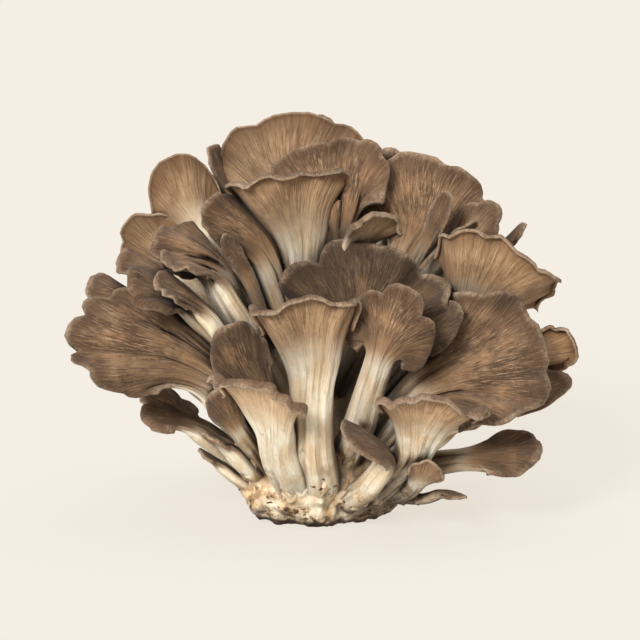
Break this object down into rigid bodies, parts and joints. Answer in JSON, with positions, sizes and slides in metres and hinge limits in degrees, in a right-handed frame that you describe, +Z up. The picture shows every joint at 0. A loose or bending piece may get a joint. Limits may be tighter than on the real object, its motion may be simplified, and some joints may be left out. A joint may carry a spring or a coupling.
{
  "type": "maitake mushroom cluster",
  "caption": "Cultivated maitake mushroom cluster standing on its cut butt, its brown fan-shaped fronds opening from pale branching stems.",
  "frame": {"origin": "middle of the butt's flat cut face, which the cluster rests on", "axes": "+Z up, out of the cut face through the crown; -Y towards the cluster's front, +X to its right as seen from the front"},
  "size_m": [0.2008, 0.1583, 0.1608],
  "materials": {
    "frond": "matte",
    "butt_flesh": "matte"
  },
  "bodies": {
    "root": {"butt": "butt_flesh", "centre_funnel": "frond", "centre_ledge": "frond", "centre_trefoil": "frond", "centre_wave_cap": "frond", "centre_left_cap": "frond", "centre_right_lobe": "frond", "right_big_fan": "frond", "right_apron": "frond", "right_low_cap": "frond", "right_low_lip": "frond", "right_finger": "frond", "right_low_fan": "frond", "right_edge_petal": "frond", "right_trumpet": "frond", "right_funnel": "frond", "right_back_fan": "frond", "right_tongue": "frond", "right_upper_petal": "frond", "right_upper_ledge": "frond", "right_upper_finger": "frond", "top_funnel": "frond", "top_crown": "frond", "top_spoon": "frond", "top_back_fan": "frond", "top_back_bud": "frond", "top_right_bud": "frond", "left_big_fan": "frond", "left_back_round": "frond", "left_back_leaf": "frond", "left_back_lower": "frond", "left_hood": "frond", "left_finger": "frond", "left_pair_upper": "frond", "left_pair_lower": "frond", "left_petal_middle": "frond", "left_petal_back": "frond", "left_petal_front": "frond", "left_petal_outer": "frond", "left_low_round": "frond", "left_low_bar": "frond", "left_low_petal": "frond", "left_low_trumpet": "frond", "back_centre_fan": "frond", "back_left_fan": "frond", "back_right_fan": "frond", "back_low_left": "frond", "back_low_centre": "frond", "back_low_right": "frond", "back_mid_left": "frond", "back_mid_right": "frond", "side_left_middle": "frond", "side_right_middle": "frond", "back_upper_left": "frond", "back_upper_right": "frond", "side_left_high": "frond", "side_right_high": "frond", "side_left_low": "frond", "side_right_low": "frond"}
  },
  "joints": []
}
